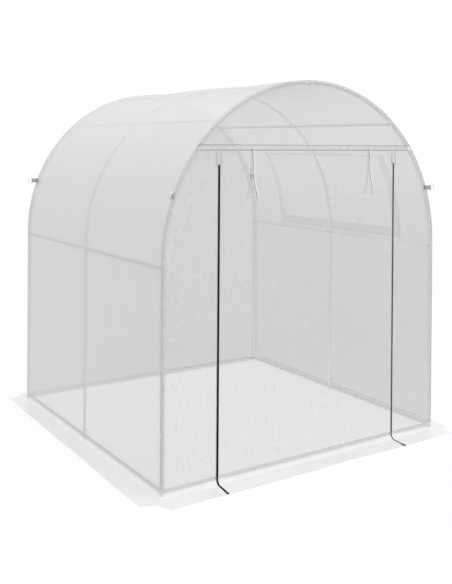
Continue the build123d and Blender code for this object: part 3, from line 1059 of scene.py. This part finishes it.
def make_guy_points():
    """Four webbing tabs with their rings. The two on the left are turned towards the front."""
    tab_low, tab_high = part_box("guy_tabs")
    half_tall = (tab_high[Z] - tab_low[Z]) / 2
    level = (tab_high[Z] + tab_low[Z]) / 2 + TAB_LIFT
    root_x = math.sqrt(film_r ** 2 - (level - springing) ** 2)
    root_y = gable_face + TAB_STAND
    path = webbing_path()
    levels = spread(-half_tall, half_tall, 0.004)
    web = [spot + UP * z for spot in path for z in levels]
    web_faces = [quad for _, _, quad in quads(len(path), len(levels))]
    ring, ring_faces = [], []
    add_cord(ring, ring_faces, ring_path(), RING_WIRE, 10, loop=True)
    stitches = tab_stitches(half_tall)
    webs, rings, threads = ([], []), ([], []), ([], [])
    for side, end, degrees in ((1, -1, 0), (-1, -1, 228), (1, 1, 0), (-1, 1, 201)):
        turned = Matrix.Rotation(math.radians(degrees), 4, "Z")
        placed = Matrix.Translation((side * root_x, end * root_y, level)) @ turned
        add_placed(webs, placed, web, web_faces)
        add_placed(rings, placed, ring, ring_faces)
        add_placed(threads, placed, *stitches)
    tabs = add_mesh("guy_tab_webbing", *webs, grey_webbing)
    work = bmesh.new()
    work.from_mesh(tabs.data)
    bmesh.ops.solidify(work, geom=work.faces[:], thickness=WEBBING_THICK)
    work.to_mesh(tabs.data)
    work.free()
    settle(tabs, "webbing", "guy_tabs")
    settle(add_mesh("guy_d_rings", *rings, white_ring), "guy_ring", "guy_rings")
    settle(add_mesh("guy_tab_stitches", *threads, white_thread, smooth=False), "webbing")


# Bolts through the tube ends

WASHER_R = 6.2 * MM
HEAD_R = 5.6 * MM
CROWN_R = 4.7 * MM
WASHER_TOP = 1.2 * MM
HEAD_TOP = 4.4 * MM
CROWN_TOP = 5.0 * MM


def add_bolt(verts, faces, place, out):
    """A washer, a hexagon head and its chamfered crown, standing on a tube and pointing along out."""
    side = out.orthogonal().normalized()
    other = out.cross(side)
    washer = ((WASHER_R, 0.0), (WASHER_R, WASHER_TOP), 18, True)
    head = ((HEAD_R, WASHER_TOP), (HEAD_R, HEAD_TOP), 6, False)
    crown = ((HEAD_R, HEAD_TOP), (CROWN_R, CROWN_TOP), 6, True)
    for lower, upper, sides, capped in (washer, head, crown):
        base = len(verts)
        for radius, height in (lower, upper):
            for k in range(sides):
                turn = 2 * math.pi * k / sides
                spoke = side * math.cos(turn) + other * math.sin(turn)
                verts.append(place + spoke * radius + out * height)
        for k in range(sides):
            nxt = (k + 1) % sides
            faces.append((base + k, base + nxt, base + sides + nxt, base + sides + k))
        if capped:
            faces.append(tuple(range(base + sides, base + 2 * sides)))


def make_bolts():
    """One bolt through each tube end, with its head turned to the inside."""
    set_back = tube_r + 0.016
    spigot_drop, crown_turn = 0.035, 0.03
    inner = hoop_r - tube_r
    crown = math.pi / 2
    verts, faces = [], []
    for y in hoop_ys:
        tube_ends = [y + step * set_back for step in (-1, 1) if abs(y + step * set_back) < end_hoop_y]
        for side in (-1, 1):
            add_bolt(verts, faces, Vector((side * inner, y, springing - spigot_drop)), -ACROSS * side)
        on_arch = [(y, crown - crown_turn), (y, crown + crown_turn)]
        for turn in (upper_purlin_angle, math.pi - upper_purlin_angle):
            on_arch += [(end_y, turn) for end_y in tube_ends]
        for bolt_y, turn in on_arch:
            out = Vector((-math.cos(turn), 0, -math.sin(turn)))
            add_bolt(verts, faces, Vector((0, bolt_y, springing)) - out * inner, out)
        for side in (-1, 1):
            for z in (base_rail_z, side_purlin_z):
                for end_y in tube_ends:
                    add_bolt(verts, faces, Vector((side * inner, end_y, z)), -ACROSS * side)
    for end in (-1, 1):
        for side in (-1, 1):
            place = Vector((side * (hoop_r - set_back), end * (end_hoop_y - tube_r), base_rail_z))
            add_bolt(verts, faces, place, AHEAD * end)
    settle(add_mesh("frame_bolts", verts, faces, zinc_bolt, smooth=False), "galvanised_tube")


finish_solids()
make_tunnel_sheet()
make_window_flap()
make_gables()
make_header_sleeve_sheet()
make_header_cords()
make_edge_binding("front", side=-1, on_roof=0.030)
make_edge_binding("rear", side=1, on_roof=0.045)
make_skirts()
make_zip("left_zip", left_zip_x, dark_teeth, teeth_share=1.05)
make_zip("right_zip", zip_x, grey_teeth, teeth_share=0.75)
make_sliders()
for tie_name in ("left_door_ties", "right_door_ties"):
    make_tie(tie_name, outer=True)
    make_tie(tie_name, outer=False)
make_stitching()
make_guy_points()
make_bolts()


# Floor, light and camera

FLOOR_SIZE = 60.0
FLOOR_DROP = 0.4 * MM
FLOOR_GLOW = 0.895
SHADOW_SHARE = 0.07
BOUNCE = 0.32
WORLD_LIGHT = 0.67
SUN_ENERGY = 3.3
SUN_SPREAD = math.radians(50)
SUN_TURN = (math.radians(18), math.radians(8), 0)


def seen_directly(tree):
    """1 for rays from the camera and those mirrored or passed on to it, 0 for rays that only carry light."""
    path = add_node(tree, "LightPath").outputs
    direct = math_node(tree, "MAXIMUM", path["Is Camera Ray"], path["Is Glossy Ray"])
    return math_node(tree, "MAXIMUM", direct, path["Is Transmission Ray"])


def show_when_seen(tree, hidden, seen, output_kind):
    """Gives the seen shader to rays that see the stage and the hidden one to rays that light the object."""
    mix = add_node(tree, "MixShader", seen_directly(tree), hidden.outputs[0], seen.outputs[0])
    add_node(tree, output_kind, Surface=mix.outputs[0])


def make_floor():
    material = bpy.data.materials.new("studio floor")
    material.use_nodes = True
    tree = material.node_tree
    tree.nodes.clear()
    bounce = add_node(tree, "BsdfDiffuse", Color=(*grey(BOUNCE), 1))
    shade = add_node(tree, "BsdfDiffuse", Color=(*grey(SHADOW_SHARE), 1))
    glow = add_node(tree, "Emission", Strength=FLOOR_GLOW)
    white = add_node(tree, "AddShader", shade.outputs[0], glow.outputs[0])
    show_when_seen(tree, bounce, white, "OutputMaterial")
    corners = [Vector((x, y, 0)) * FLOOR_SIZE for x, y in ((-1, -1), (1, -1), (1, 1), (-1, 1))]
    floor = add_mesh("studio_floor", corners, [(0, 1, 2, 3)], material, smooth=False)
    floor.location.z = -FLOOR_DROP


def make_world():
    world = bpy.data.worlds.new("studio")
    world.use_nodes = True
    tree = world.node_tree
    tree.nodes.clear()
    white = (*grey(1), 1)
    lighting = add_node(tree, "Background", Color=white, Strength=WORLD_LIGHT)
    show_when_seen(tree, lighting, add_node(tree, "Background", Color=white), "OutputWorld")
    bpy.context.scene.world = world


def make_lamp():
    lamp = bpy.data.lights.new("soft key", "SUN")
    lamp.energy = SUN_ENERGY
    lamp.angle = SUN_SPREAD
    holder = bpy.data.objects.new("soft key", lamp)
    holder.rotation_euler = SUN_TURN
    holder.visible_glossy = False
    bpy.context.scene.collection.objects.link(holder)


def make_camera():
    """Stands where the photograph was taken, level to within half a degree, with the frame shifted down."""
    image_width, image_height = 452, 584
    focal_px = 829.0
    level_point_px = (229.6, 150.0)
    yaw, pitch, roll = (math.radians(a) for a in (33.45, -0.45, 0.39))
    place = Vector((-2.773, -4.299, 1.665))
    camera = bpy.data.cameras.new("camera")
    camera.sensor_width = 36.0
    camera.lens = focal_px / image_height * camera.sensor_width
    camera.shift_x = (image_width / 2 - level_point_px[0]) / image_height
    camera.shift_y = (level_point_px[1] - image_height / 2) / image_height
    holder = bpy.data.objects.new("camera", camera)
    turn = Matrix.Rotation(-yaw, 4, "Z") @ Matrix.Rotation(math.pi / 2 + pitch, 4, "X")
    holder.matrix_world = Matrix.Translation(place) @ turn @ Matrix.Rotation(roll, 4, "Z")
    bpy.context.scene.collection.objects.link(holder)
    bpy.context.scene.camera = holder


make_floor()
make_world()
make_lamp()
make_camera()
bpy.context.scene.view_settings.view_transform = "Standard"
